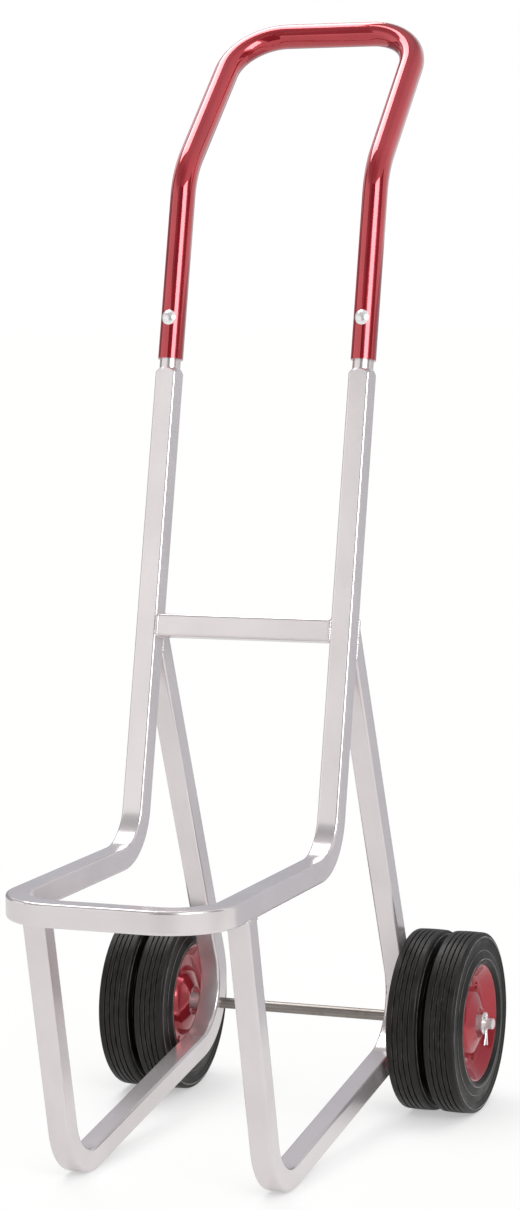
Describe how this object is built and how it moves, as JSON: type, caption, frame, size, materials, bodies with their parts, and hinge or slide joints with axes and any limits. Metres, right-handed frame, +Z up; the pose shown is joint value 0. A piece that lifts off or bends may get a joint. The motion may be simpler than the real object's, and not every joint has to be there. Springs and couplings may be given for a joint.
{
  "type": "chair dolly",
  "caption": "Chair dolly: bent silver square-tube frame with an open deck, a red loop handle and paired ribbed rubber wheels on a fixed axle, for moving stacked chairs.",
  "frame": {"origin": "on the floor, under the middle of the overall box", "axes": "+Z up, +X to the right seen from the front, along the axle, -Y to the front, where the deck points"},
  "size_m": [0.4716, 0.7264, 1.2634],
  "materials": {
    "silver_paint": "satin silver enamel",
    "red_enamel": "gloss red enamel",
    "red_hub": "semi-gloss red enamel on pressed steel",
    "tyre_rubber": "moulded black rubber",
    "bare_steel": "bare drawn bar",
    "zinc": "bright zinc plate",
    "bronze": "plain sintered bronze"
  },
  "bodies": {
    "frame": {"axle": "bare_steel", "cross_bar": "silver_paint", "handle_tube": "red_enamel", "left_cotter_pin": "zinc", "left_handle_bolt": "zinc", "left_handle_nut": "zinc", "left_handle_washer": "zinc", "left_leg_tube": "silver_paint", "left_middle_washer": "zinc", "left_outer_washer": "zinc", "left_spacer": "zinc", "main_frame_tube": "silver_paint", "right_cotter_pin": "zinc", "right_handle_bolt": "zinc", "right_handle_nut": "zinc", "right_handle_washer": "zinc", "right_leg_tube": "silver_paint", "right_middle_washer": "zinc", "right_outer_washer": "zinc", "right_spacer": "zinc"},
    "left_outer_wheel": {"left_outer_bush": "bronze", "left_outer_hub_inner_disc": "red_hub", "left_outer_hub_outer_disc": "red_hub", "left_outer_hub_tube": "zinc", "left_outer_rivets": "red_hub", "left_outer_tyre": "tyre_rubber"},
    "left_inner_wheel": {"left_inner_bush": "bronze", "left_inner_hub_inner_disc": "red_hub", "left_inner_hub_outer_disc": "red_hub", "left_inner_hub_tube": "zinc", "left_inner_rivets": "red_hub", "left_inner_tyre": "tyre_rubber"},
    "right_inner_wheel": {"right_inner_bush": "bronze", "right_inner_hub_inner_disc": "red_hub", "right_inner_hub_outer_disc": "red_hub", "right_inner_hub_tube": "zinc", "right_inner_rivets": "red_hub", "right_inner_tyre": "tyre_rubber"},
    "right_outer_wheel": {"right_outer_bush": "bronze", "right_outer_hub_inner_disc": "red_hub", "right_outer_hub_outer_disc": "red_hub", "right_outer_hub_tube": "zinc", "right_outer_rivets": "red_hub", "right_outer_tyre": "tyre_rubber"}
  },
  "joints": [
    {"name": "left_outer_spin", "type": "hinge", "parent": "frame", "child": "left_outer_wheel", "pos_m": [0, 0.22526, 0.105], "axis": [1, 0, 0], "continuous": true},
    {"name": "left_inner_spin", "type": "hinge", "parent": "frame", "child": "left_inner_wheel", "pos_m": [0, 0.22526, 0.105], "axis": [1, 0, 0], "continuous": true},
    {"name": "right_inner_spin", "type": "hinge", "parent": "frame", "child": "right_inner_wheel", "pos_m": [0, 0.22526, 0.105], "axis": [1, 0, 0], "continuous": true},
    {"name": "right_outer_spin", "type": "hinge", "parent": "frame", "child": "right_outer_wheel", "pos_m": [0, 0.22526, 0.105], "axis": [1, 0, 0], "continuous": true}
  ]
}
